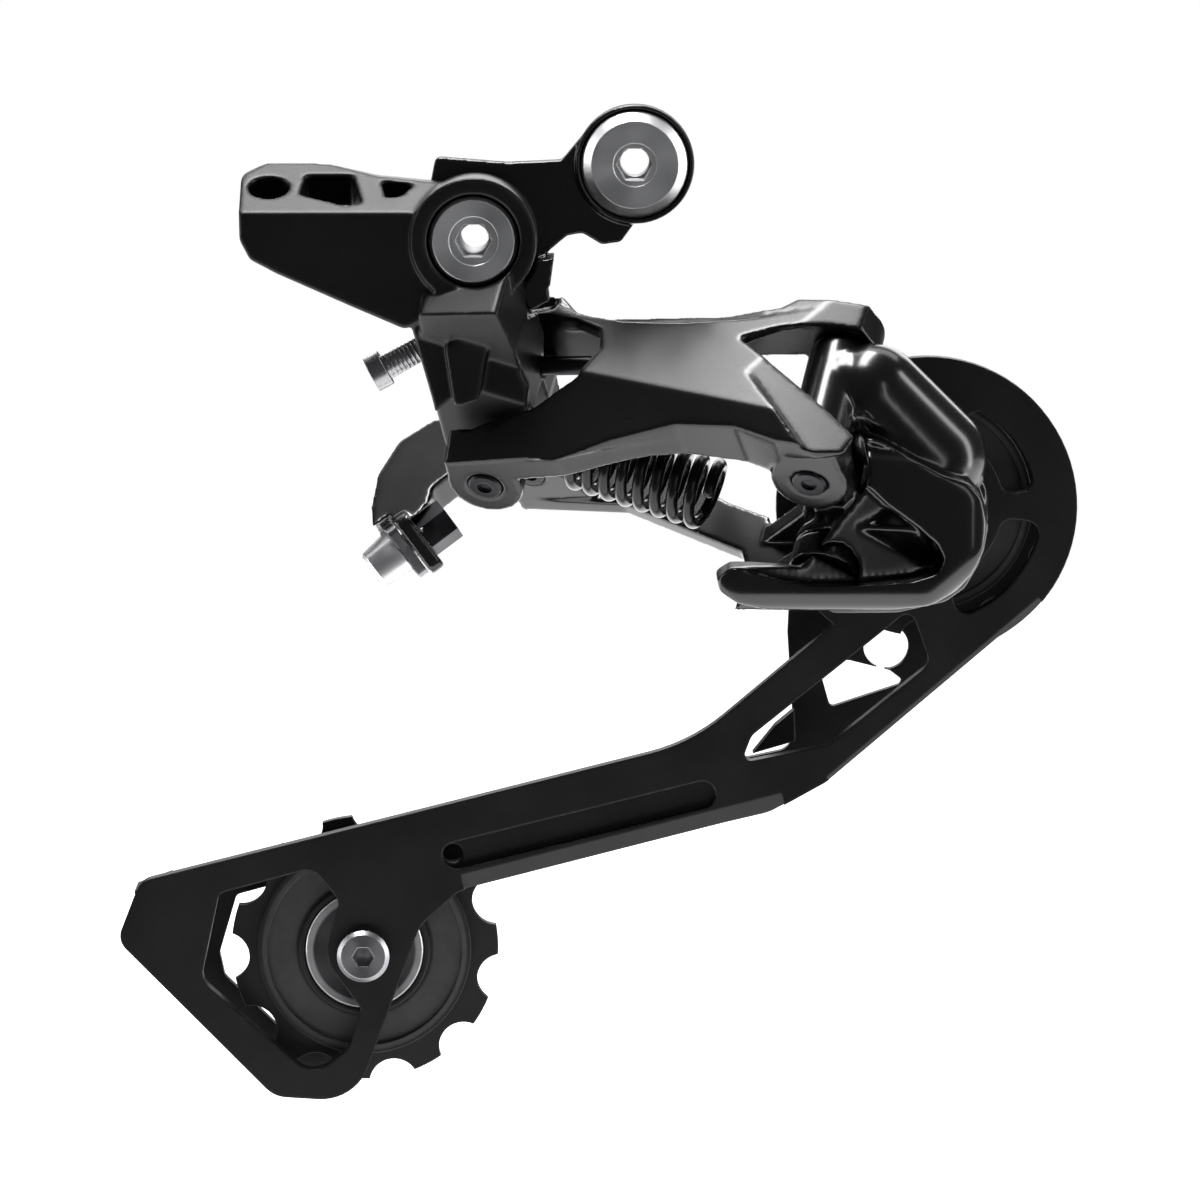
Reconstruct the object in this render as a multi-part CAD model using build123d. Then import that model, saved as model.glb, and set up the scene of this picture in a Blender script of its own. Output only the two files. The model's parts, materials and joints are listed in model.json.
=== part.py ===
from build123d import *
from math import cos, pi, radians, sin
import os

# Rear bicycle derailleur, millimetres.
# Origin: hanger bolt axis at the face that meets the bicycle's hanger.
# +X forward, +Y inboard (towards the wheel), +Z up.

# ---- driving dimensions ----
PIVOT = (-25.0, -11.0)            # bracket pivot axis, runs along Y (X, Z)
CAGE = (46.2, -54.4)              # cage pivot and guide pulley axis (X, Z)
TENSION = (-43.2, -126.3)         # tension pulley axis (X, Z)
PITCH = 12.7                      # chain pitch
TEETH = 11
ROLLER_R = 3.95
PITCH_R = PITCH / (2 * sin(pi / TEETH))
PULLEY_TIP_R = 21.4
PULLEY_MID_Y = 7.0
CAGE_FRONT_Y = 0.0
CAGE_BACK_Y = 3.0
INNER_FRONT_Y = 11.0
INNER_BACK_Y = 13.0
BARREL_FRONT_Y = -19.0
BARREL_BACK_Y = -4.4
BARREL_R = 9.8
LINK_LENGTH = 53.0                # pin to pin along each link
PIN_DIR = (0.21, 0.69, 0.70)      # all four link pins lean this way
LINK_DIR = (49.82, -17.6, 2.4)
PIN_A1 = (-23.5, -14.0, -50.0)    # lower end of the outer link's rear pin
INNER_OFFSET = (-2.0, 19.0)       # from the outer link's pins to the inner link's
PIN_R = 2.7
INNER_PIN_R = 2.2
RUN_FIT = 0.06
LUG_R = 6.0
LOW_LUG = (0.5, 6.0)              # outer link's lower lugs, along the pins
HIGH_LUG = (27.0, 32.6)           # outer link's upper lugs
SCREW_HEAD = (-38.9, -31.3)       # body angle screw, head end (X, Z)
SCREW_DIR = (0.88, 0.475)
SCREW_Y = -10.0

HIGH_SCREW = (-4.9, 21.0, -12.0, 14.6)   # y, height along the pins, head x, tip x (link frame)
LOW_SCREW = (10.5, 23.8, -8.4, 12.6)

LINK = Plane(origin=PIN_A1, x_dir=LINK_DIR, z_dir=PIN_DIR).location
TOP_TILT = 29.0                   # slope of the cable arm's top face


def outline(points, radius=0.0):
    face = make_face(Polyline(*points, close=True))
    return fillet(face.vertices(), radius) if radius else face


def rounded(points):
    """Closed outline from (x, z, corner radius) entries."""
    face = make_face(Polyline(*[(x, z) for x, z, radius in points], close=True))
    for x, z, radius in points:
        if radius:
            face = fillet(face.vertices().sort_by_distance((x, z, 0))[0], radius)
    return face


def slab(sketch, y_low, y_high):
    """Extrude an X-Z sketch between two Y values."""
    return extrude(Plane.XZ.offset(-y_high) * sketch, y_high - y_low)


def rod(point, radius, y_low, y_high):
    return slab(Pos(point[0], point[1]) * Circle(radius), y_low, y_high)


def post(x, y, radius, low, high):
    """Cylinder along the local Z axis."""
    return Pos(x, y, low) * extrude(Circle(radius), high - low)


def stadium(a, b, radius):
    dx, dy = b[0] - a[0], b[1] - a[1]
    length = (dx * dx + dy * dy) ** 0.5
    nx, ny = -dy / length * radius, dx / length * radius
    strip = [(a[0] + nx, a[1] + ny), (b[0] + nx, b[1] + ny),
             (b[0] - nx, b[1] - ny), (a[0] - nx, a[1] - ny)]
    return outline(strip) + Pos(*a) * Circle(radius) + Pos(*b) * Circle(radius)


def layer(sketch, low, high):
    return Pos(0, 0, low) * extrude(sketch, high - low)


def hex_socket(across_flats):
    return RegularPolygon(across_flats / 3 ** 0.5, 6)


def polar(centre, radius, degrees):
    return (centre[0] + radius * cos(radians(degrees)), centre[1] + radius * sin(radians(degrees)))


# ---- bracket link and its bolts ----
def bracket_link():
    body = outline([(-31.4, -16), (-32.4, -5), (-31.2, 1.1), (-20, 0.2), (-11.4, 0.6), (-7.9, 4.8),
                    (-4, 8.4), (0, 8.4), (0, -9.2), (-2.2, -12.2), (-5.2, -12.6), (-8.2, -10.8),
                    (-10.6, -11.2), (-14.4, -14.4), (-14.6, -18.6), (-18.4, -19.2), (-24, -20)], 0.9)
    plate = slab(body + Circle(9.3) + Pos(*PIVOT) * Circle(8.8), -4.0, 0.0)
    plate += rod((0, 0), 9.3, -5.0, 0.0)
    tab = outline([(-18.0, -19.5), (-16.4, -22.4), (-13.3, -20.7), (-13.9, -15.4), (-15.4, -15.4)])
    plate += slab(tab, -13.0, -6.4)
    plate += slab(outline([(-15.4, -14.6), (-16.6, -18.4), (-13.2, -18.4), (-12.6, -14)]), -13.0, -0.0)
    plate -= rod((0, 0), 8.6, -5.1, -4.0)
    plate -= rod((0, 0), 4.6, -5.0, 1.0)
    plate -= rod(PIVOT, 4.0, -5.0, 1.0)
    return plate


def hanger_bolt():
    bolt = rod((0, 0), 8.4, -6.2, -4.0)
    bolt = chamfer(bolt.faces().sort_by(Axis.Y)[0].edges(), 1.6)
    bolt += rod((0, 0), 4.6, -4.0, 0.4)
    bolt += rod((0, 0), 5.0, 0.4, 8.0)
    bolt = chamfer(bolt.faces().sort_by(Axis.Y)[-1].edges(), 0.7)
    bolt -= rod((0, 0), 3.4, -6.3, -5.6)
    bolt -= slab(hex_socket(5.0), -6.3, 1.5)
    bolt -= rod((0, 0), 2.3, 1.0, 8.5)
    return bolt


def bracket_bolt():
    bolt = rod(PIVOT, 6.9, -18.7, -16.0)
    bolt = chamfer(bolt.faces().sort_by(Axis.Y)[0].edges(), 0.6)
    bolt += rod(PIVOT, 4.0, -16.0, 0.0)
    bolt -= rod(PIVOT, 3.8, -18.8, -18.0)
    bolt -= slab(Pos(*PIVOT) * hex_socket(5.0), -18.8, -12.5)
    bolt -= rod(PIVOT, 2.25, -13.0, 0.5)
    return bolt


def bracket_washer():
    return rod(PIVOT, 7.6, -4.3, -4.0) - rod(PIVOT, 4.05, -5.0, -3.0)


# ---- bracket knuckle ----
def screw_line(length_from_head):
    return (SCREW_HEAD[0] + SCREW_DIR[0] * length_from_head, SCREW_Y,
            SCREW_HEAD[1] + SCREW_DIR[1] * length_from_head)


def along_screw(radius, start, end):
    plane = Plane(origin=screw_line(start), z_dir=(SCREW_DIR[0], 0, SCREW_DIR[1]))
    return extrude(plane * Circle(radius), end - start)


ARM_TOP = Plane(origin=(-45.0, -11.5, -3.4), x_dir=(1, 0, 0),
                z_dir=(0, -sin(radians(TOP_TILT)), cos(radians(TOP_TILT))))


def b_knuckle():
    arm = outline([(-61.4, -1.5), (-61.2, -11), (-59.6, -14), (-55.4, -16.2), (-43.6, -21.4),
                   (-35.6, -24.8), (-24, -18), (-22, -4), (-31.5, -2.4), (-40, -1.6), (-48, 0.2),
                   (-57, 0.6)], 1.4)
    knuckle = slab(arm, -17.5, -4.6)
    neck = outline([(-36.4, -19), (-34.8, -24), (-31.4, -36), (-29.4, -45.5), (-17.6, -43),
                    (-16.4, -34), (-19.8, -27), (-20.4, -18.5), (-28, -12)], 1.2)
    knuckle += slab(neck, -17.0, -5.0)
    # the sloping top of the cable arm
    knuckle -= ARM_TOP.location * Pos(0, 0, 10) * Box(90, 60, 20)
    knuckle += rod(PIVOT, BARREL_R, BARREL_FRONT_Y, BARREL_BACK_Y)
    # pockets that lighten the arm, and the housing stop
    top = ARM_TOP.location
    pocket = outline([(-6.2, 4.2), (1.0, 4.2), (2.6, -3.8), (0.2, -4.6), (-7.0, -1.4)], 0.8)
    small = outline([(5.6, 2.6), (10.6, 1.6), (8.8, -1.6), (6.4, -2.4)], 0.6)
    knuckle -= top * layer(pocket, -7, 2)
    knuckle -= top * layer(small, -5, 2)
    knuckle -= top * post(-11.9, 0.6, 3.1, -8.0, 3.0)
    knuckle -= top * post(-11.9, 0.6, 1.3, -22.0, 3.0)
    # front steps on the neck
    step = outline([(-29.5, -27), (-22.4, -25.2), (-23.4, -31), (-24.2, -36), (-28, -36.8)], 0.8)
    knuckle += slab(step, -19.0, -16.0)
    # bosses round the two link pins
    local = post(0, 0, LUG_R, LOW_LUG[1] + 2.7, HIGH_LUG[0] - 0.3)
    local += layer(stadium((0, 0), INNER_OFFSET, 5.6), 21.5, 26.0)
    arm_up = outline([(-6.0, 0), (-7.5, -20), (-6, -27), (7, -27), (7.5, -18), (6.0, 0)], 0.5)
    local += layer(arm_up, 12.5, 25.0)
    knuckle += LINK * local
    knuckle -= rod(PIVOT, 30, -4.3, 6) & slab(outline([(-50, 12), (10, 12), (10, -30), (-50, -30)]), -4.3, 6)
    cut = post(0, 0, 13.6, -20, LOW_LUG[1] + 2.7) + post(0, 0, 12.4, HIGH_LUG[0] - 0.2, 50)
    cut += post(0, 0, PIN_R + RUN_FIT, -20, 60)
    cut += post(0, 0, 5.0, 13.2, 16.8)
    mouth = outline([(0, 0)] + [polar((0, 0), 9.5, a) for a in (-30, 10, 50, 90, 110)])
    cut += layer(mouth, 13.2, 19.4)
    cut += post(*INNER_OFFSET, INNER_PIN_R + RUN_FIT, -20, 60)
    knuckle -= LINK * cut
    # room for the bracket link's stop tab
    room = outline([(-18.7, -19.2), (-16.8, -23.4), (-12, -21.6), (-8, -15), (-8, 0), (-15.2, -8)])
    knuckle -= slab(room, -13.5, 2.0)
    knuckle += rod(PIVOT, BARREL_R, BARREL_FRONT_Y, BARREL_BACK_Y)
    knuckle -= rod(PIVOT, 4.06, -30, 0)
    knuckle -= rod(PIVOT, 7.2, -30, -16.0)
    knuckle -= along_screw(2.05, -6, 30)
    for y, height, head_x, tip_x in (HIGH_SCREW, LOW_SCREW):
        across = LINK * Plane(origin=(-30, y, height), z_dir=(1, 0, 0)).location
        knuckle -= across * post(0, 0, 1.55, 0, 60)
        knuckle -= across * post(0, 0, 2.5, 0, head_x + 32.2)
    return knuckle.solids().sort_by(SortBy.VOLUME)[-1]


def limit_screw(setting):
    """M3 screw across the knuckle whose tip meets the outer link at one end of its travel."""
    y, height, head_x, tip_x = setting
    plane = Plane(origin=(0, y, height), z_dir=(1, 0, 0)).location
    screw = post(0, 0, 1.5, head_x + 1, tip_x) + post(0, 0, 2.3, head_x, head_x + 2.0)
    screw -= post(0, 0, 0.9, head_x - 1, head_x + 0.9)
    return LINK * plane * screw


def tension_screw():
    screw = along_screw(2.0, -1.0, 23.5) + along_screw(2.85, -2.5, 0.0)
    plane = Plane(origin=screw_line(-2.6), z_dir=(SCREW_DIR[0], 0, SCREW_DIR[1]))
    return screw - extrude(plane * hex_socket(3.0), 2.0)


# ---- parallelogram ----
def half_space(origin, x_dir, normal):
    return Plane(origin=origin, x_dir=x_dir, z_dir=normal).location * Pos(0, 0, 30) * Box(240, 240, 60)


def outer_link():
    face = outline([(-6.4, 2.0), (-5.0, -1.4), (0.4, -2.6), (6, -2.2), (13, -0.6), (22, 2.2), (33, 4.2),
                    (43, 3.2), (50, 0.6), (56, -0.6), (60.4, 0.4), (61.6, 4.0), (56, 9.0), (46, 17),
                    (39.5, 22.8), (45, 25.4), (52, 26.8), (59.4, 27.0), (60, 29.2), (56, 31.4),
                    (48, 29.6), (40, 27.4), (30, 26.2), (20, 26.2), (12, 28), (4, 32.6), (-4.6, 32.4),
                    (-5.8, 30), (-3, 27.3), (4, 27.4), (11.6, 26.6), (16.6, 24), (17.6, 19.4),
                    (15.8, 13.2), (9, 8.6), (0, 6.4)], 0.7)
    link = slab(face, -12.4, -6.8)
    low = outline([(-5.8, -1.0), (-4.8, -9.6), (58.4, -9.6), (58.8, -1), (46, -1.6), (27, -3.4),
                   (8, -1.6)], 0.6)
    high = outline([(-5.8, -1.0), (-4.2, -8.6), (6, -8.6), (14, -7.6), (42, -7.6), (57.4, -6.4), (58.8, -1),
                    (46, 0.6), (8, 0.6)], 0.6)
    skirt = outline([(-8, 0.5), (0, -0.5), (14, 0.5), (22, 2.4), (33, 4.2), (43, 3.2), (50, 0.5), (62, 0.5),
                     (62, 6.6), (33, 8.5), (-8, 6)])
    link += layer(low, LOW_LUG[0], LOW_LUG[1]) & slab(skirt, -20, 20)
    link += layer(high, HIGH_LUG[0], HIGH_LUG[1])
    # the upper arm dips between its two lugs
    dip = outline([(5, 36), (11, 29.6), (16, 28.4), (36, 28.4), (44, 30.2), (50, 36)], 0.8)
    link -= slab(dip, -20, 20)
    for bottom, top in (LOW_LUG, HIGH_LUG):
        link += post(0, 0, LUG_R, bottom, top) + post(LINK_LENGTH, 0, LUG_R, bottom, top)
    # thicker wall in the middle, where the flanges meet
    rib = outline([(17.4, 6), (33, 6), (46, 5), (40, 20), (36, 27.5), (17.4, 27.5)], 1.5)
    link += slab(rib, -7.4, -3.6)
    # the outside falls away above and below a ridge that runs down towards the front pin
    ridge = (16, -12.0, 14)
    link -= half_space(ridge, (1, 0, -0.25), (-0.0825, -1, -0.33))
    link -= half_space(ridge, (1, 0, -0.25), (0.05, -1, 0.2))
    corner = half_space((46, -8.6, 26), (1, 0, 0.2), (0.25, -1, 0.1))
    link -= corner & half_space((37, 0, 22), (0, 1, 0), (0.9, 0, 0.7))
    for x in (0, LINK_LENGTH):
        link -= post(x, 0, PIN_R, -20, 60)
    # relief under the bracket link and its stop tab
    relief = outline([(-34, -8), (-8, -8), (-12.4, -22.8), (-16.4, -23.6), (-20.4, -21.2), (-34, -21.6)])
    return LINK * link - slab(relief, -13.8, 0.7)


def link_pin(offset, radius, low, high):
    pin = post(*offset, radius, low, high)
    pin = chamfer(pin.faces().sort_by(Axis.Z)[0].edges(), 0.35)
    pin -= post(*offset, radius * 0.45, low - 1, low + 0.5)
    return LINK * pin


INNER_A_LUGS = ((18.8, 21.2), (26.3, 31.0))
INNER_B_LUGS = ((-2.0, 2.5), (9.5, 13.0))
B2 = (LINK_LENGTH + INNER_OFFSET[0], INNER_OFFSET[1])
CLAMP_AT = (-21.5, 24.0, 8.2)     # cable clamp, in the link frame
CLAMP_DIR = (0.8, 0.12, 0.59)     # cable bolt axis, from its head to its nut


def clamp_plane():
    at = LINK * Pos(*CLAMP_AT)
    return Plane(origin=at.position, z_dir=CLAMP_DIR)


def inner_link():
    web = outline([(-4, 18.8), (-4, 31), (8, 30.6), (30, 18), (43, 12.6), (44, -2), (38, -2), (34, 8),
                   (12, 18)], 1.0)
    link = slab(web, 25.2, 28.0)
    for low, high in INNER_A_LUGS:
        lug = Pos(*INNER_OFFSET) * Circle(4.6 if low < 20 else 5.5)
        lug += outline([(-7.4, 19), (-6, 27.9), (9, 27.9), (3.4, 19)])
        link += layer(lug, low, high)
    for low, high in INNER_B_LUGS:
        lug = Pos(*B2) * Circle(5.5)
        lug += outline([(45.6, 18), (34, 27.9), (43, 27.9), (54, 23.4)])
        link += layer(lug, low, high)
    # cable arm: a curved blade that runs back and then down to the clamp
    blade = outline([(-3, 31), (-14, 32.5), (-22, 31.5), (-27, 27), (-29, 20), (-28.4, 13), (-26.4, 6.4),
                     (-17.4, 4.4), (-18.6, 12), (-18.8, 17), (-15, 21.6), (-8, 22.6), (-3, 22)], 1.4)
    link += slab(blade, 19.8, 25.6)
    shelf = outline([(-5, 20), (-5, 27.9), (-14, 27.9), (-20, 25.6), (-20, 19.8)], 0.8)
    link += layer(shelf, 26.3, 31.0)
    at = clamp_plane()
    pad = extrude(at * RectangleRounded(10.6, 12.0, 1.6), 2.4)
    link = LINK * link + pad
    link -= extrude(at.offset(-6) * Circle(2.6), 12)
    link -= extrude(at.offset(-9) * Circle(6.2), 9)
    link -= extrude(at.offset(2.4) * Circle(3.9), 8.5)
    cut = post(*INNER_OFFSET, INNER_PIN_R, -20, 60) + post(*B2, INNER_PIN_R, -20, 60)
    cut += post(*INNER_OFFSET, 6.0, 21.2, 26.3)
    behind = outline([(-2.2, 4), (-2.2, 34), (-16, 34), (-16, 4)])
    cut += layer((Pos(*INNER_OFFSET) * Circle(13.2)) & behind, 21.2, 26.3)
    link -= slab(Pos(*CAGE) * Circle(24.8), -0.8, 40)
    return (link - LINK * cut).solids().sort_by(SortBy.VOLUME)[-1]


def cable_bolt():
    at = clamp_plane()
    head = extrude(at.offset(-2.0) * Circle(4.5), -5.4, taper=8.4)
    head = chamfer(head.faces().sort_by(Axis.X)[0].edges(), 0.5)
    bolt = head + extrude(at.offset(-2.0) * Circle(2.5), 9.4)
    return bolt - extrude(at.offset(-7.6) * hex_socket(4.0), 3.4)


def cable_washer():
    at = clamp_plane()
    washer = extrude(at.offset(-1.9) * RectangleRounded(9.6, 8.6, 1.2), 1.6)
    return washer - extrude(at.offset(-3) * Circle(2.6), 5)


def cable_nut():
    at = clamp_plane()
    nut = extrude(at.offset(2.5) * RegularPolygon(3.6, 6), 5.2)
    return nut - extrude(at.offset(2) * Circle(2.5), 8)


def return_spring():
    start = Vector(10.5, 5.6, 12.4)
    end = Vector(33.0, 12.0, 8.2)
    axis = end - start
    plane = Plane(origin=start, x_dir=(0, 0, 1), z_dir=axis)
    pitch, radius, wire = 2.85, 5.0, 0.95
    coil = Helix(pitch=pitch, height=axis.length, radius=radius)
    coil = plane.location * coil
    spring = sweep(Plane(origin=coil @ 0, z_dir=coil % 0) * Circle(wire), path=coil, is_frenet=True)
    hooks = []
    for at, centre, pin_r, height in ((coil @ 0, (0.0, 0.0), PIN_R, 15.0), (coil @ 1, B2, INNER_PIN_R, 7.0)):
        ring = Pos(centre[0], centre[1], height) * Torus(pin_r + wire + 0.12, wire)
        side = -1 if centre[0] else 1
        contact = Vector(centre[0] + side * (pin_r + wire + 0.12), centre[1], height)
        leg = Line(contact, at)
        hooks.append(ring + sweep(Plane(origin=leg @ 0, z_dir=leg % 0) * Circle(wire), path=leg))
        hooks.append(Pos(*at) * Sphere(wire))
    return LINK * (spring + hooks)


# ---- cage knuckle ----
def lobe(a, b, radius_a, radius_b):
    """Two balls joined by a cone."""
    axis = Vector(*b) - Vector(*a)
    cone = Cone(radius_a, radius_b, axis.length, align=(Align.CENTER, Align.CENTER, Align.MIN))
    return Plane(origin=a, z_dir=axis).location * cone + Pos(*a) * Sphere(radius_a) + Pos(*b) * Sphere(radius_b)


def p_knuckle():
    body = outline([(31, -41), (31.4, -33), (35, -29), (40, -28.6), (44.6, -32.6), (49, -39),
                    (53.2, -45.4), (54.8, -50), (55.0, -56), (53.6, -61.4), (51.4, -65.2), (48.4, -67.4),
                    (41, -69.1), (30, -69.2), (29, -63), (34, -55), (33.4, -46)], 1.2)
    knuckle = slab(body, -17.0, -0.9)
    # shell round the front pocket, running out into a tongue at the rear
    shell = outline([(34.6, -40.2), (38.2, -41.4), (42.7, -44.0), (47.2, -46.3), (51.2, -47.6), (53.4, -50),
                     (54.4, -54), (53.8, -58), (52, -62), (49.6, -64.8), (45.4, -66.9), (40.3, -67.6),
                     (26.9, -67.8), (20.1, -67.5), (15.6, -66.4), (12.9, -64.5), (12.5, -62.4),
                     (14.6, -60.7), (17.6, -60.6), (25.6, -60.8), (28, -58.2), (32, -53), (35.3, -49.2),
                     (36, -45.4)], 0.8)
    soft = slab(outline([(11, -60), (11, -68), (46, -68), (55.4, -60), (55.4, -48), (47, -42), (34, -36)], 5.2),
                -27.2, -13.0)
    soft = fillet(soft.faces().sort_by(Axis.Y)[0].edges(), 4.2)
    knuckle += slab(shell, -27.2, -13.5) & soft
    pocket = outline([(17.2, -61.2), (22.3, -62.6), (26.9, -63.3), (33.7, -63.4), (42.8, -62.8), (46.6, -61.6),
                      (47.6, -59.6), (46.4, -57.2), (43.2, -54.4), (38.8, -51.2), (35.8, -48.4), (30, -50),
                      (22, -57), (16, -59.4)], 0.6)
    slope = half_space((17, -26.6, -60), (29, 7.2, 0), (7.2, -29, 0))
    knuckle -= slab(pocket, -40, -14) & slope
    knuckle += rod(CAGE, 9.0, -13.5, -0.9)
    knuckle += lobe((36.8, -16.4, -34.8), (46.2, -14.4, -45.0), 8.0, 8.6)
    knuckle += Pos(33.2, -16.3, -34.0) * Sphere(6.7)
    local = post(LINK_LENGTH, 0, 4.8, LOW_LUG[1] + 0.4, HIGH_LUG[0] - 0.3)
    wall = outline([(LINK_LENGTH - 4, 0), (LINK_LENGTH + 6.2, -1), (LINK_LENGTH + 15, 12),
                    (LINK_LENGTH + 10, 26), (LINK_LENGTH - 1, 22)], 1.5)
    local += layer(wall, 13.5, 26.6)
    local += post(*B2, 5.4, 2.8, 9.2)
    local += layer(stadium(B2, (LINK_LENGTH, 0), 5.0), 6.6, 9.2)
    bridge = outline([(48, 17), (52, 13), (66, 14), (70, 24), (62, 31), (50, 27)], 1.5)
    local += layer(bridge, 2.8, 9.2)
    knuckle += LINK * local
    # room for the outer link's lugs, the inner link's lugs and the spring's hook
    cut = post(LINK_LENGTH, 0, 6.6, LOW_LUG[0] - 3, LOW_LUG[1] + 0.3)
    cut += post(LINK_LENGTH, 0, 15.6, HIGH_LUG[0] - 0.3, 50)
    sector = outline([(LINK_LENGTH, 0)] + [polar((LINK_LENGTH, 0), 30, a) for a in range(-172, 30, 12)])
    cut += layer(Pos(LINK_LENGTH, 0) * Circle(15.2) & sector, LOW_LUG[0] - 3, LOW_LUG[1] + 0.3)
    cut += layer(Pos(LINK_LENGTH, 0) * (Circle(15.2) - Circle(6.5)) & sector, LOW_LUG[1], 10.0)
    swept = [B2] + [polar(B2, 26, a) for a in range(84, 216, 12)] + [polar(B2, 13, 219), polar(B2, 9, 230)]
    swept = Pos(*B2) * Circle(5.9) + outline(swept)
    cut += layer(swept, -2.4, 2.8) + layer(swept, 9.2, 13.4)
    cut += post(*B2, 4.4, 5.2, 8.8)
    cut += layer(outline([B2] + [polar(B2, 12, a) for a in (155, 180, 205, 230, 250)]), 5.2, 8.8)
    cut += post(LINK_LENGTH, 0, PIN_R + RUN_FIT, 4, 30)
    cut += post(*B2, INNER_PIN_R + RUN_FIT, -2.8, 14)
    knuckle -= LINK * cut
    knuckle -= rod(CAGE, 6.06, -17.6, 5)
    knuckle -= rod(CAGE, 7.8, -13.0, -2.4)
    # curved groove that the cage's stop pin travels in
    groove = Pos(*CAGE) * (Circle(13.4) - Circle(9.6))
    wedge = outline([CAGE] + [polar(CAGE, 30, a) for a in range(-124, 10, 12)])
    knuckle -= slab(groove & wedge, -4.2, 0)
    knuckle -= slab(Pos(*CAGE) * Circle(60), -0.9, 60)
    return knuckle.solids().sort_by(SortBy.VOLUME)[-1]


def p_axle():
    axle = rod(CAGE, 6.0, -17.2, 3.0)
    axle -= rod(CAGE, 2.5, -8.0, 4.0)
    return axle


def p_seal():
    return rod(CAGE, 7.4, -0.8, 0.0) - rod(CAGE, 6.03, -2, 1)


def p_spring():
    coil = Helix(pitch=2.0, height=8.4, radius=6.92)
    coil = Plane(origin=(CAGE[0], -3.4, CAGE[1]), z_dir=(0, -1, 0)).location * coil
    return sweep(Plane(origin=coil @ 0, z_dir=coil % 0) * Circle(0.6), path=coil, is_frenet=True)


STOP_AT = polar(CAGE, 11.5, -115)


def stop_pin():
    return rod(STOP_AT, 1.5, -3.6, 3.0)


# ---- cage ----
def edge_bevel(a, b, height, depth):
    """Triangular bar that bevels the front of a plate edge running rearwards from a to b."""
    dx, dz = b[0] - a[0], b[1] - a[1]
    plane = Plane(origin=(a[0], 0, a[1]), x_dir=(0, 1, 0), z_dir=(dx, 0, dz))
    return extrude(plane * outline([(-0.5, 1), (-0.5, -height), (depth, 1)]), (dx * dx + dz * dz) ** 0.5)


def cage_slot(inner, outer, low, high, corner):
    ring = Circle(outer) - Circle(inner)
    steps = [low + (high - low) * i / 6 for i in range(7)]
    ring &= outline([(0, 0)] + [polar((0, 0), 40, a) for a in steps])
    return Pos(*CAGE) * fillet(ring.vertices(), corner)


def outer_cage_plate():
    bar = rounded([(34, -58, 0), (31.8, -73, 4), (9, -92.2, 30), (-78.8, -114.5, 3.5), (-82.5, -124, 3),
                   (-57.6, -149.4, 5), (-44.6, -150.2, 8), (-34.2, -121.6, 8), (-28.0, -116.1, 4),
                   (22, -103.2, 8), (30.6, -98.4, 8), (65.2, -68.8, 0), (50, -50, 0)])
    face = bar + Pos(*CAGE) * Circle(23.8)
    window = rounded([(17.0, -95.4, 1.0), (18.6, -91, 3), (43.8, -70.6, 1.5), (47, -79.4, 2.0),
                      (31, -92.4, 4)])
    triangle = rounded([(-66.2, -116.4, 1.5), (-51.2, -112.3, 3), (-47.0, -117.6, 2), (-49.5, -127, 6),
                        (-43.5, -135.2, 2), (-45.5, -141.6, 3), (-51.6, -146.2, 4), (-69.2, -130.4, 3)])
    face = face - window - triangle - cage_slot(12.2, 17.4, 9, 66, 2.0) - cage_slot(12.0, 18.4, -74, -8, 2.2)
    plate = slab(face, CAGE_FRONT_Y, CAGE_BACK_Y)
    plate -= edge_bevel((24, -102.7), (-27, -115.9), 3.5, 2.0)
    plate -= edge_bevel((64.4, -69.4), (31, -98.1), 1.4, 1.2)
    trough = stadium((-28.4, -110.3), (10.8, -100.5), 2.2)
    plate -= slab(trough, -1, 1.5)
    plate -= rod((-28.9, -110.2), 1.6, -1, 4)
    plate -= rod(CAGE, 6.0, -1, 4)
    plate -= rod(STOP_AT, 1.5, -1, 4)
    plate -= rod(TENSION, 2.5, -1, 4)
    plate += rod(TENSION, 5.4, 2.9, 3.2) - rod(TENSION, 2.5, 2, 4)
    return plate


def inner_cage_plate():
    bar = rounded([(25.6, -54, 0), (24.6, -76, 8), (25.8, -94.6, 3), (-72, -115.6, 4), (-80.8, -118.4, 2.5),
                   (-80.2, -125, 3), (-57, -148.4, 5), (-45.6, -148.6, 8), (-35.6, -122.4, 8),
                   (-29.4, -117.2, 4), (22, -105, 8), (31, -99.5, 6), (64, -69.4, 0), (50, -50, 0)])
    face = bar + Pos(*CAGE) * Circle(21.2)
    triangle = outline([(-64, -118.5), (-53.4, -115.6), (-50.4, -116), (-48.6, -119), (-49.8, -125),
                        (-49.2, -129.5), (-45.6, -135), (-46.6, -140), (-49.8, -143.2), (-53, -143.2),
                        (-57, -140.6), (-66, -131.8), (-66.8, -128)], 1.0)
    window = outline([(31.5, -88), (29.8, -82), (31.5, -80.2), (34.6, -80.4), (41, -82), (43.6, -84)], 0.7)
    relief = Pos(40.4, -78.2) * Circle(3.6)
    slots = Sketch()
    for start in (20, 100, 180):
        slots += stadium(polar(CAGE, 14.5, start), polar(CAGE, 14.5, start + 28), 2.6)
    plate = slab(face - triangle - window - relief - slots, INNER_FRONT_Y, INNER_BACK_Y)
    # chain guide lip on the rear edge by the guide pulley, and the tab at the tail
    plate += slab(outline([(19.0, -95), (25.8, -93), (25.6, -88), (22.6, -90.5)]), 7.6, 11.2)
    plate += slab(outline([(-79.6, -118.6), (-74.0, -116.4), (-74.4, -114.8), (-80.0, -116.8)]), 4.2, 13.0)
    plate -= rod(CAGE, 2.55, 8, 16)
    plate -= rod(TENSION, 2.5, 8, 16)
    return plate


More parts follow.
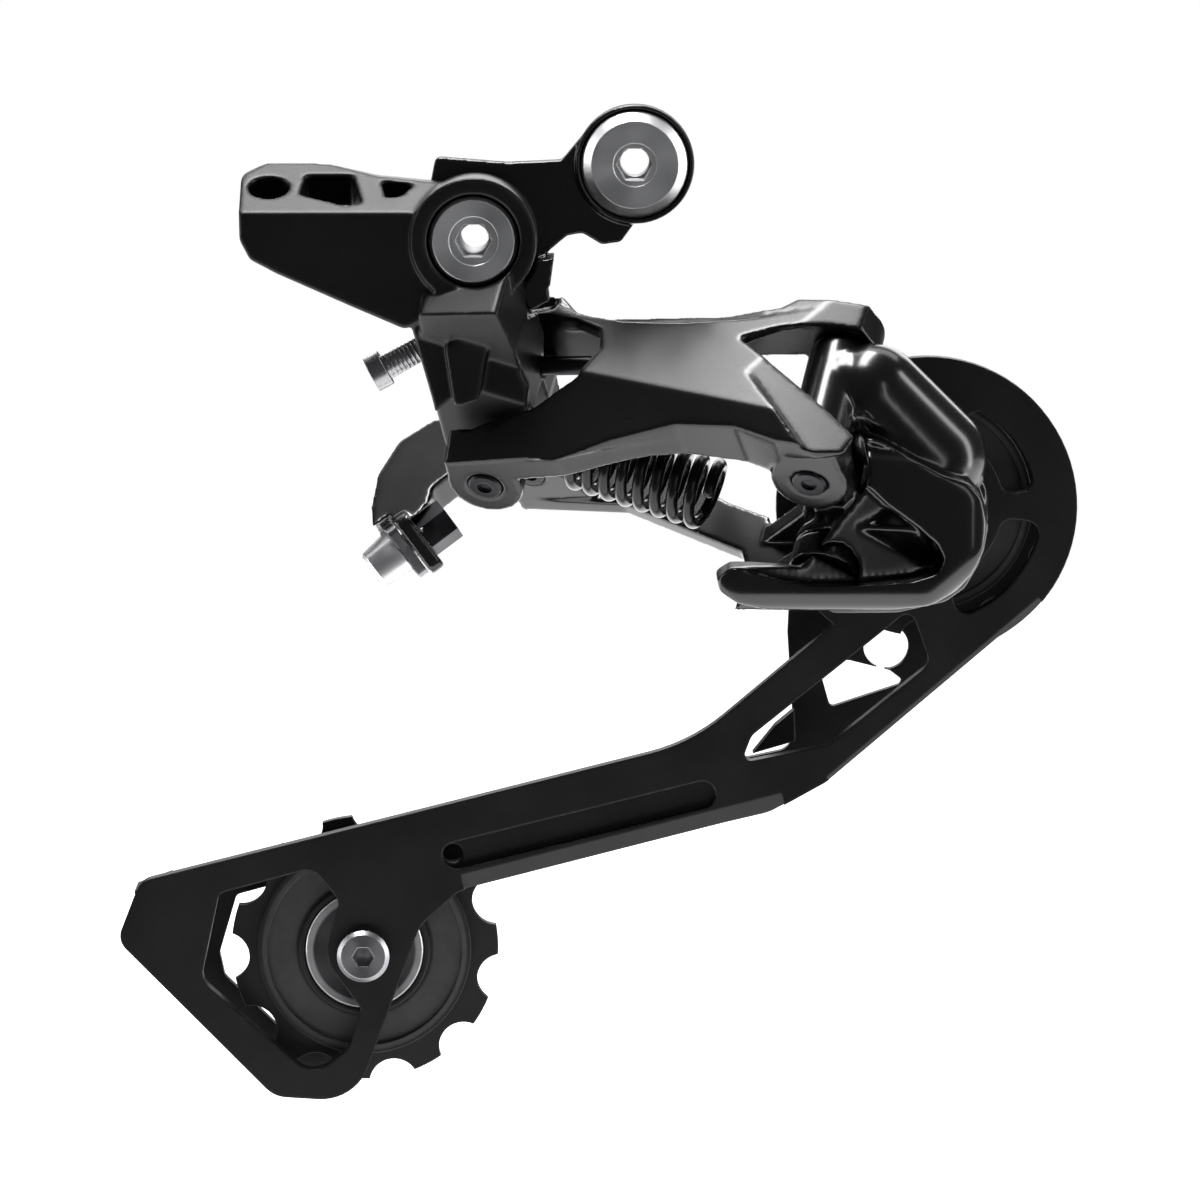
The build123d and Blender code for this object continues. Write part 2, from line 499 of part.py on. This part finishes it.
# ---- pulleys ----
def pulley(centre, marks):
    profile = Circle(PULLEY_TIP_R)
    for i in range(TEETH):
        x, z = polar((0, 0), PITCH_R, 360 / TEETH * i + marks)
        profile -= Pos(x, z) * Circle(ROLLER_R)
    wheel = slab(profile, PULLEY_MID_Y - 1.0, PULLEY_MID_Y + 1.0)
    wheel += rod((0, 0), 17.0, PULLEY_MID_Y - 2.4, PULLEY_MID_Y + 2.4)
    wheel -= rod((0, 0), 15.6, 3, PULLEY_MID_Y - 1.6) + rod((0, 0), 15.6, PULLEY_MID_Y + 1.6, 11)
    wheel += rod((0, 0), 10.4, PULLEY_MID_Y - 2.9, PULLEY_MID_Y + 2.9)
    wheel -= rod((0, 0), 9.7, 3, PULLEY_MID_Y - 2.5) + rod((0, 0), 9.7, PULLEY_MID_Y + 2.5, 11)
    wheel -= rod((0, 0), 4.06, 0, 14)
    return Pos(centre[0], 0, centre[1]) * wheel


def pulley_bushing(centre):
    return rod(centre, 4.0, 3.25, 10.95) - rod(centre, 2.55, 3, 12)


def pulley_caps(centre):
    caps = []
    for low in (3.8, 9.6):
        cap = rod(centre, 9.4, low, low + 0.6) - rod(centre, 4.0, low - 1, low + 2)
        caps.append(chamfer(cap.faces().sort_by(Axis.Y)[0 if low < 7 else -1].edges()[0], 0.2))
    return caps


def guide_bolt():
    bolt = rod(CAGE, 4.4, 13.0, 15.0) + rod(CAGE, 2.5, -5.0, 13.0)
    bolt -= slab(Pos(*CAGE) * hex_socket(3.0), 13.4, 16)
    return bolt


def tension_bolt():
    bolt = rod(TENSION, 4.2, -2.2, 0.0)
    bolt = chamfer(bolt.faces().sort_by(Axis.Y)[0].edges(), 0.7)
    bolt += rod(TENSION, 2.5, 0.0, 13.4)
    bolt -= slab(Pos(*TENSION) * hex_socket(3.0), -3, -0.4)
    return bolt


NODES = {
    "bracket_link": bracket_link(),
    "hanger_bolt": hanger_bolt(),
    "bracket_bolt": bracket_bolt(),
    "bracket_washer": bracket_washer(),
    "b_knuckle": b_knuckle(),
    "tension_screw": tension_screw(),
    "high_limit_screw": limit_screw(HIGH_SCREW),
    "low_limit_screw": limit_screw(LOW_SCREW),
    "outer_link": outer_link(),
    "outer_pin_rear": link_pin((0, 0), PIN_R, 0.2, 32.8),
    "outer_pin_front": link_pin((LINK_LENGTH, 0), PIN_R, 0.2, 32.8),
    "inner_link": inner_link(),
    "inner_pin_rear": link_pin(INNER_OFFSET, INNER_PIN_R, 18.4, 31.4),
    "inner_pin_front": link_pin(B2, INNER_PIN_R, -2.4, 13.4),
    "cable_bolt": cable_bolt(),
    "cable_washer": cable_washer(),
    "cable_nut": cable_nut(),
    "return_spring": return_spring(),
    "p_knuckle": p_knuckle(),
    "p_axle": p_axle(),
    "p_seal": p_seal(),
    "p_spring": p_spring(),
    "stop_pin": stop_pin(),
    "outer_cage_plate": outer_cage_plate(),
    "inner_cage_plate": inner_cage_plate(),
    "guide_pulley": pulley(CAGE, 8),
    "guide_bushing": pulley_bushing(CAGE),
    "guide_caps": pulley_caps(CAGE),
    "guide_bolt": guide_bolt(),
    "tension_pulley": pulley(TENSION, 20),
    "tension_bushing": pulley_bushing(TENSION),
    "tension_caps": pulley_caps(TENSION),
    "tension_bolt": tension_bolt(),
}

os.makedirs("parts", exist_ok=True)
for name, shape in NODES.items():
    shape = Compound(children=shape) if isinstance(shape, list) else shape
    export_step(shape, f"parts/{name}.step")
    print(name, len(shape.solids()), round(sum(s.volume for s in shape.solids()), 1))
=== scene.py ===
import json
import math

import bpy
import bmesh
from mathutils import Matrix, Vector


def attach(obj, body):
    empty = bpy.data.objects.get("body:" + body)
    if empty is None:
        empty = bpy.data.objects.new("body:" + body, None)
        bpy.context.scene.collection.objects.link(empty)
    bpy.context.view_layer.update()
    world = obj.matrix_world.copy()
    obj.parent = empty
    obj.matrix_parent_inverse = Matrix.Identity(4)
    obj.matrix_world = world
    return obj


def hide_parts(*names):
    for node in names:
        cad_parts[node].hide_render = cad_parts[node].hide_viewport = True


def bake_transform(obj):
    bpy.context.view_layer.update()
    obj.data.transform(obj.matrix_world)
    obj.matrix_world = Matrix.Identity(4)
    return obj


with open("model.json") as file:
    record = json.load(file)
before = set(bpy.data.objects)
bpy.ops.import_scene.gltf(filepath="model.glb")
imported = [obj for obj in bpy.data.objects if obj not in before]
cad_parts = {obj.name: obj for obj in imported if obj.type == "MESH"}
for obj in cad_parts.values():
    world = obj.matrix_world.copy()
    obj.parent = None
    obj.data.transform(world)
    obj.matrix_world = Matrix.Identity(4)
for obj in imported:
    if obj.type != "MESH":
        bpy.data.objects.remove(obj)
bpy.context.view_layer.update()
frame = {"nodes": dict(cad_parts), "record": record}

NODES = frame["nodes"]
MM = 0.001


def placed(name, data):
    """A new object in the scene."""
    obj = bpy.data.objects.new(name, data)
    bpy.context.scene.collection.objects.link(obj)
    return obj


# ---------- materials ----------
# how fine each noise is: features per metre, roughly
PATCHES, PAINT_SMEARS, METAL_TONES, METAL_SMEARS = 70.0, 90.0, 90.0, 160.0
WAVES, SHEEN_RING_MOTTLE, EDGE_CHIPS = 260.0, 260.0, 700.0
NICKS, SPECKS, LATHE_MARKS = 2400.0, 2600.0, 5200.0
BEVEL_SAMPLES = 6
RING_SOFTNESS = 0.0004      # metres over which a ring's border fades


class Shader:
    """A small helper that adds nodes to one material."""

    def __init__(self, mat):
        mat.use_nodes = True
        self.mat, self.tree = mat, mat.node_tree
        self.bsdf = self.tree.nodes["Principled BSDF"]
        self.place = self.tree.nodes.new("ShaderNodeTexCoord").outputs["Object"]

    @classmethod
    def new(cls, name):
        return cls(bpy.data.materials.new(name))

    def node(self, kind, **inputs):
        n = self.tree.nodes.new(kind)
        for key, value in inputs.items():
            n.inputs[key].default_value = value
        return n

    def link(self, a, b):
        self.tree.links.new(a, b)

    def feed(self, socket, value):
        """Links the socket to another one, or sets it to a number or a colour."""
        if hasattr(value, "is_output"):
            self.link(value, socket)
        elif isinstance(value, tuple):
            socket.default_value = (*value, 1.0)
        else:
            socket.default_value = value

    def settle(self, **inputs):
        """Sets plain values of the Principled BSDF; an underscore stands for a space."""
        for key, value in inputs.items():
            self.bsdf.inputs[key.replace("_", " ")].default_value = value

    def noise(self, scale, detail, rough):
        n = self.node("ShaderNodeTexNoise", Scale=scale, Detail=detail, Roughness=rough)
        self.link(self.place, n.inputs["Vector"])
        return n.outputs["Fac"]

    def ramp(self, fac, low, high, a=0.0, b=1.0):
        n = self.node("ShaderNodeMapRange")
        self.link(fac, n.inputs["Value"])
        for key, value in (("From Min", low), ("From Max", high), ("To Min", a), ("To Max", b)):
            n.inputs[key].default_value = value
        return n.outputs["Result"]

    def mix(self, fac, a, b):
        n = self.tree.nodes.new("ShaderNodeMix")
        n.data_type = "RGBA"
        for socket, value in ((n.inputs[0], fac), (n.inputs[6], a), (n.inputs[7], b)):
            self.feed(socket, value)
        return n.outputs[2]

    def math(self, operation, a, b=0.0):
        n = self.tree.nodes.new("ShaderNodeMath")
        n.operation = operation
        for socket, value in zip(n.inputs, (a, b)):
            self.feed(socket, value)
        return n.outputs[0]

    def bump(self, height, strength, distance, normal):
        n = self.node("ShaderNodeBump", Strength=strength, Distance=distance)
        self.link(height, n.inputs["Height"])
        self.link(normal, n.inputs["Normal"])
        return n.outputs["Normal"]

    def rounded_normal(self, radius_mm):
        n = self.node("ShaderNodeBevel", Radius=radius_mm * MM)
        n.samples = BEVEL_SAMPLES
        return n.outputs["Normal"]

    def edge_wear(self, rounded, amount):
        """Rubbed spots along edges, found where the rounded normal leaves the face's own."""
        true = self.tree.nodes.new("ShaderNodeNewGeometry").outputs["Normal"]
        n = self.tree.nodes.new("ShaderNodeVectorMath")
        n.operation = "DOT_PRODUCT"
        self.link(rounded, n.inputs[0])
        self.link(true, n.inputs[1])
        edge = self.ramp(n.outputs["Value"], 0.985, 0.88)
        broken = self.ramp(self.noise(EDGE_CHIPS, 5.0, 0.7), 0.50, 0.70)
        return self.math("MULTIPLY", self.math("MULTIPLY", edge, broken), amount)


def coated(name, dark, light, rough, grain_size, grain, metallic=0.0, coat=0.0, coat_rough=0.12,
           wear=(0.16, 0.16, 0.165), wear_amount=0.5, round_edge=0.25, specular=0.5, waviness=0.0,
           smears=0.05):
    """Painted or anodised metal: uneven tone, fine grain, rubbed edges and faint handling marks."""
    s = Shader.new(name)
    tone = s.ramp(s.noise(PATCHES, 4.0, 0.55), 0.3, 0.7)
    base = s.mix(tone, dark, light)
    speck = s.ramp(s.noise(SPECKS, 2.0, 0.6), 0.70, 0.78, 0.0, 0.35)
    base = s.mix(speck, base, tuple(min(1.0, c * 3.0 + 0.015) for c in light))
    normal = s.rounded_normal(round_edge)
    base = s.mix(s.edge_wear(normal, wear_amount), base, wear)
    s.link(base, s.bsdf.inputs["Base Color"])
    smear = s.ramp(s.noise(PAINT_SMEARS, 4.0, 0.5), 0.3, 0.75, rough - smears, rough + 1.5 * smears)
    s.link(smear, s.bsdf.inputs["Roughness"])
    if waviness:
        normal = s.bump(s.noise(WAVES, 1.0, 0.4), waviness, 0.25 * MM, normal)
    normal = s.bump(s.noise(1000.0 / grain_size, 2.0, 0.6), grain, 0.06 * MM, normal)
    s.link(normal, s.bsdf.inputs["Normal"])
    s.settle(Metallic=metallic, Coat_Weight=coat, Coat_Roughness=coat_rough, Specular_IOR_Level=specular)
    return s.mat


def turned(name, dark, light, rough):
    """Turned metal: sheen that runs round the piece's own axis, faint smears and a few darker nicks."""
    s = Shader.new(name)
    tone = s.ramp(s.noise(METAL_TONES, 3.0, 0.5), 0.35, 0.7)
    base = s.mix(tone, dark, light)
    nick = s.ramp(s.noise(NICKS, 2.0, 0.6), 0.72, 0.80, 0.0, 0.25)
    base = s.mix(nick, base, tuple(c * 0.4 for c in dark))
    s.link(base, s.bsdf.inputs["Base Color"])
    smear = s.ramp(s.noise(METAL_SMEARS, 4.0, 0.6), 0.3, 0.7, rough - 0.03, rough + 0.05)
    s.link(smear, s.bsdf.inputs["Roughness"])
    normal = s.rounded_normal(0.2)
    s.link(s.bump(s.noise(LATHE_MARKS, 2.0, 0.5), 0.18, 0.02 * MM, normal), s.bsdf.inputs["Normal"])
    tangent = s.tree.nodes.new("ShaderNodeTangent")
    tangent.direction_type = "RADIAL"
    tangent.axis = "Y"
    s.link(tangent.outputs["Tangent"], s.bsdf.inputs["Tangent"])
    s.settle(Metallic=1.0, Anisotropic=0.7)
    return s.mat


def ring_mask(s, centre, inner, outer):
    """1 between two radii round an axis along Y, 0 elsewhere."""
    flat = s.node("ShaderNodeVectorMath")
    flat.operation = "SUBTRACT"
    s.link(s.place, flat.inputs[0])
    flat.inputs[1].default_value = (centre[0], 0.0, centre[1])
    split = s.tree.nodes.new("ShaderNodeSeparateXYZ")
    s.link(flat.outputs[0], split.inputs[0])
    x, z = split.outputs["X"], split.outputs["Z"]
    radius = s.math("SQRT", s.math("ADD", s.math("MULTIPLY", x, x), s.math("MULTIPLY", z, z)))
    inside = s.ramp(radius, inner - RING_SOFTNESS, inner)
    return s.math("MULTIPLY", inside, s.ramp(radius, outer + RING_SOFTNESS, outer))


def painted_sheen_ring(mat, centre, inner, outer, tone):
    """Lays a slightly uneven ring of another tone over a material: a painted highlight on the caps' rims, a
    painted sheen mixed with rubbed wear on the pulleys.
    """
    s = Shader(mat)
    old = s.bsdf.inputs["Base Color"].links[0].from_socket
    uneven = s.ramp(s.noise(SHEEN_RING_MOTTLE, 5.0, 0.65), 0.2, 0.6, 0.6, 1.0)
    # painted sheen: the lighter ring of colour stands in for light caught on the ring, mottled by noise
    painted_sheen_mask = s.math("MULTIPLY", ring_mask(s, centre, inner, outer), uneven)
    s.link(s.mix(painted_sheen_mask, old, tone), s.bsdf.inputs["Base Color"])
    return mat


def pulley_face(name, centre):
    """Moulded black plastic whose raised ring is painted lighter: partly wear from the chain and handling,
    partly a painted sheen.
    """
    mat = coated(name, (0.0030, 0.0030, 0.0033), (0.0062, 0.0062, 0.0066), 0.36, 0.4, 0.25,
                 wear=(0.05, 0.05, 0.052), wear_amount=0.40)
    # painted sheen: the lighter ring tone stands in partly for light on the raised ring, partly for rubbed
    # wear
    return painted_sheen_ring(mat, centre, 0.0112, 0.0162, (0.052, 0.052, 0.054))


def cap_face(name, centre):
    """Pressed steel cap with a painted highlight along its rim."""
    mat = turned(name, (0.055, 0.055, 0.057), (0.10, 0.10, 0.104), 0.30)
    # painted highlight: a bright ring of colour round the cap's rim
    return painted_sheen_ring(mat, centre, 0.0084, 0.0098, (0.46, 0.46, 0.47))


# where the pulleys' axes cross the XZ plane
GUIDE_AXIS = (0.0462, -0.0544)
TENSION_AXIS = (-0.0432, -0.1263)
MATS = {
    "gloss_black": coated("gloss_black", (0.0026, 0.0026, 0.0029), (0.0048, 0.0048, 0.0052), 0.22, 0.5, 0.10,
                          coat=0.30, waviness=0.03, wear_amount=0.25, smears=0.02),
    "link_black": coated("link_black", (0.0024, 0.0024, 0.0027), (0.0048, 0.0048, 0.0052), 0.26, 0.35, 0.16,
                         metallic=0.20, coat=0.20, coat_rough=0.18, waviness=0.015, wear_amount=0.25,
                         specular=0.48, smears=0.02),
    "knuckle_black": coated("knuckle_black", (0.0030, 0.0030, 0.0033), (0.0062, 0.0062, 0.0066), 0.36, 0.30,
                            0.35, metallic=0.2, waviness=0.02, wear_amount=0.30, specular=0.42, smears=0.03),
    "cage_black": coated("cage_black", (0.0060, 0.0060, 0.0064), (0.0105, 0.0105, 0.0111), 0.42, 0.28, 0.40,
                         metallic=0.25, wear_amount=0.35, round_edge=0.45, specular=0.34),
    "spring_black": coated("spring_black", (0.0030, 0.0030, 0.0033), (0.0070, 0.0070, 0.0075), 0.26, 0.3,
                           0.15, metallic=0.5, coat=0.2, wear_amount=0.25),
    "seal_rubber": coated("seal_rubber", (0.006, 0.006, 0.006), (0.011, 0.011, 0.011), 0.6, 0.3, 0.5,
                          wear_amount=0.10),
    "steel_bright": turned("steel_bright", (0.28, 0.28, 0.29), (0.42, 0.42, 0.43), 0.28),
    "alloy_bolt": turned("alloy_bolt", (0.62, 0.62, 0.63), (0.80, 0.80, 0.81), 0.33),
    "steel_dark": turned("steel_dark", (0.020, 0.020, 0.022), (0.050, 0.050, 0.054), 0.30),
    "guide_cap": cap_face("guide_cap", GUIDE_AXIS),
    "tension_cap": cap_face("tension_cap", TENSION_AXIS),
    "guide_plastic": pulley_face("guide_plastic", GUIDE_AXIS),
    "tension_plastic": pulley_face("tension_plastic", TENSION_AXIS),
}
SLOT_OF = {part["node"]: part["material_slot"] for part in frame["record"]["subparts"]}
LOOK_OF = {
    "guide_caps": "guide_cap", "tension_caps": "tension_cap",
    "guide_pulley": "guide_plastic", "tension_pulley": "tension_plastic",
    "high_limit_screw": "steel_dark", "low_limit_screw": "steel_dark", "bracket_bolt": "alloy_bolt",
}


def dress(obj, node_name):
    """Gives a piece its node's look and material slot."""
    slot = SLOT_OF[node_name]
    obj.data.materials.clear()
    obj.data.materials.append(MATS[LOOK_OF.get(node_name, slot)])


for name, node in NODES.items():
    dress(node, name)


# ---------- cast pieces: the same solids with rounded, moulded edges ----------
WELD_DISTANCE = 0.00001     # metres


def cast_piece(node_name, body, voxel_mm, rounds):
    """A remeshed copy of a node, smoothed for a number of rounds."""
    piece = placed(f"{node_name}_cast", NODES[node_name].data.copy())
    weld = piece.modifiers.new("weld", "WELD")
    weld.merge_threshold = WELD_DISTANCE
    remesh = piece.modifiers.new("remesh", "REMESH")
    remesh.mode = "VOXEL"
    remesh.voxel_size = voxel_mm * MM
    remesh.use_smooth_shade = True
    smooth = piece.modifiers.new("smooth", "SMOOTH")
    smooth.factor = 0.5
    smooth.iterations = rounds
    depsgraph = bpy.context.evaluated_depsgraph_get()
    baked = bpy.data.meshes.new_from_object(piece.evaluated_get(depsgraph))
    piece.modifiers.clear()
    piece.data = baked
    for poly in baked.polygons:
        poly.use_smooth = True
    dress(piece, node_name)
    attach(piece, body)
    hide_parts(node_name)


CAST = (("b_knuckle", "bracket_knuckle", 0.27, 16), ("outer_link", "outer_link_body", 0.27, 22),
        ("inner_link", "inner_link_body", 0.28, 14), ("p_knuckle", "cage_knuckle", 0.28, 30),
        ("bracket_link", "bracket", 0.24, 8))
for row in CAST:
    cast_piece(*row)


# ---------- the body angle screw, with a thread of assumed pitch ----------
SCREW_AT = Vector((-0.0389, -0.0100, -0.0313))
SCREW_AXIS = Vector((0.88, 0.0, 0.475)).normalized()
CORE = 0.80                 # the plain shank shrinks to this, to lie under the thread
ROOT, CREST = 0.83, 0.17    # share of the radius at a root, and what a crest adds
THREAD_START, THREAD_SPARE = 0.1, 0.5       # mm left free under the head, and in all
AROUND, STEPS_PER_TURN = 24, 8


def threaded_screw(node_name, body, length_mm, radius_mm, pitch_mm):
    """The node's own head, with a capped helical tube round its thinned shank."""
    bm = bmesh.new()
    bm.from_mesh(NODES[node_name].data)
    for vert in bm.verts:
        along = (vert.co - SCREW_AT).dot(SCREW_AXIS)
        if along > THREAD_START * MM:
            foot = SCREW_AT + SCREW_AXIS * along
            vert.co = foot + (vert.co - foot) * CORE
    side = SCREW_AXIS.cross(Vector((0.0, 1.0, 0.0))).normalized()
    other = SCREW_AXIS.cross(side)
    steps = int(length_mm / pitch_mm * STEPS_PER_TURN)
    rows = []
    for i in range(steps + 1):
        along = THREAD_START + (length_mm - THREAD_SPARE) * i / steps
        row = []
        for j in range(AROUND):
            turn = 2 * math.pi * j / AROUND
            phase = (along / pitch_mm - j / AROUND) % 1.0
            height = 1.0 - abs(2.0 * phase - 1.0)
            radius = (radius_mm * (ROOT + CREST * height)) * MM
            spot = SCREW_AT + SCREW_AXIS * along * MM
            row.append(bm.verts.new(spot + (side * math.cos(turn) + other * math.sin(turn)) * radius))
        rows.append(row)
    for low, high in zip(rows, rows[1:]):
        for j in range(AROUND):
            k = (j + 1) % AROUND
            bm.faces.new((low[j], low[k], high[k], high[j]))
    bm.faces.new(rows[0])
    bm.faces.new(rows[-1])
    bmesh.ops.recalc_face_normals(bm, faces=bm.faces[:])
    mesh = bpy.data.meshes.new(f"{node_name}_threaded")
    bm.to_mesh(mesh)
    bm.free()
    piece = placed(f"{node_name}_threaded", mesh)
    dress(piece, node_name)
    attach(piece, body)
    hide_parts(node_name)


threaded_screw("tension_screw", "tension_screw_body", 23.5, 2.0, 0.7)

spring = placed("return_spring_coil", NODES["return_spring"].data.copy())
dress(spring, "return_spring")
spring.data.shade_smooth()

# ---------- stage, light, camera ----------
FLOOR_Z = -0.275            # low enough for the cage when the linkage moves down
FLOOR_HALF_WIDTH, FLOOR_FRONT, FLOOR_BACK = 4.0, -0.32, 1.6
FLOOR_GLOW = 1.15
ROOM_LIGHT, COVE_LIGHT = 0.09, 1.0


def studio_floor():
    mesh = bpy.data.meshes.new("floor")
    bm = bmesh.new()
    corners = ((-FLOOR_HALF_WIDTH, FLOOR_FRONT), (FLOOR_HALF_WIDTH, FLOOR_FRONT),
               (FLOOR_HALF_WIDTH, FLOOR_BACK), (-FLOOR_HALF_WIDTH, FLOOR_BACK))
    bm.faces.new([bm.verts.new((x, y, FLOOR_Z)) for x, y in corners])
    bm.to_mesh(mesh)
    bm.free()
    obj = placed("floor", mesh)
    s = Shader.new("pale_floor")
    base = s.mix(s.ramp(s.noise(3.0, 2.0, 0.5), 0.3, 0.7), (0.86, 0.86, 0.86), (0.90, 0.90, 0.90))
    s.link(base, s.bsdf.inputs["Base Color"])
    s.link(base, s.bsdf.inputs["Emission Color"])
    s.settle(Roughness=0.9, Emission_Strength=FLOOR_GLOW)
    mesh.materials.append(s.mat)


studio_floor()


def softbox(name, place, target, size, power):
    """A rectangular lamp at a place, turned to its target."""
    data = bpy.data.lights.new(name, "AREA")
    data.shape = "RECTANGLE"
    data.size, data.size_y = size
    data.energy = power
    lamp = placed(name, data)
    lamp.location = place
    lamp.rotation_euler = (Vector(target) - Vector(place)).to_track_quat("-Z", "Y").to_euler()


MIDDLE = (-0.005, 0.0, -0.07)
softbox("top", (-0.12, 0.06, 0.85), MIDDLE, (0.7, 0.24), 11.5)
softbox("front_right", (0.42, -0.85, 0.12), MIDDLE, (0.10, 0.60), 0.55)
softbox("left", (-0.90, 0.02, 0.05), MIDDLE, (0.14, 0.9), 2.2)
softbox("right", (0.90, -0.10, 0.15), MIDDLE, (0.18, 0.9), 3.2)
softbox("back", (0.10, 1.00, 0.45), MIDDLE, (1.2, 0.5), 6.0)
softbox("floor_wash", (0.0, 0.7, 1.2), (0.0, 0.9, -0.15), (2.0, 0.6), 8.0)

# a dim room lights the object; only the lens sees the white cove behind it
world = bpy.data.worlds.new("studio")
bpy.context.scene.world = world
world.use_nodes = True
nodes, links = world.node_tree.nodes, world.node_tree.links
room = nodes["Background"]
room.inputs["Color"].default_value = (0.95, 0.97, 1.0, 1.0)
room.inputs["Strength"].default_value = ROOM_LIGHT
cove = nodes.new("ShaderNodeBackground")
cove.inputs["Color"].default_value = (1.0, 1.0, 1.0, 1.0)
cove.inputs["Strength"].default_value = COVE_LIGHT
seen = nodes.new("ShaderNodeLightPath")
choose = nodes.new("ShaderNodeMixShader")
links.new(seen.outputs["Is Camera Ray"], choose.inputs[0])
links.new(room.outputs[0], choose.inputs[1])
links.new(cove.outputs[0], choose.inputs[2])
links.new(choose.outputs[0], nodes["World Output"].inputs["Surface"])

bpy.context.scene.view_settings.view_transform = "Standard"

# matched to the photograph: one metre from AIM, looking down on it by TILT
TILT = math.radians(7.4)
AIM = Vector((-0.00546, 0.00675, -0.0701))
camera_data = bpy.data.cameras.new("camera")
camera_data.lens = 188.1
camera_data.sensor_width = 36.0
camera_data.clip_start = 0.01
camera_data.clip_end = 20.0
camera = placed("camera", camera_data)
camera.location = AIM - Vector((0.0, math.cos(TILT), -math.sin(TILT)))
camera.rotation_euler = (math.radians(90) - TILT, 0.0, 0.0)
bpy.context.scene.camera = camera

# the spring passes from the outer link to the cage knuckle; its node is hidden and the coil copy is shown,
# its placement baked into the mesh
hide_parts("return_spring")
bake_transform(spring)
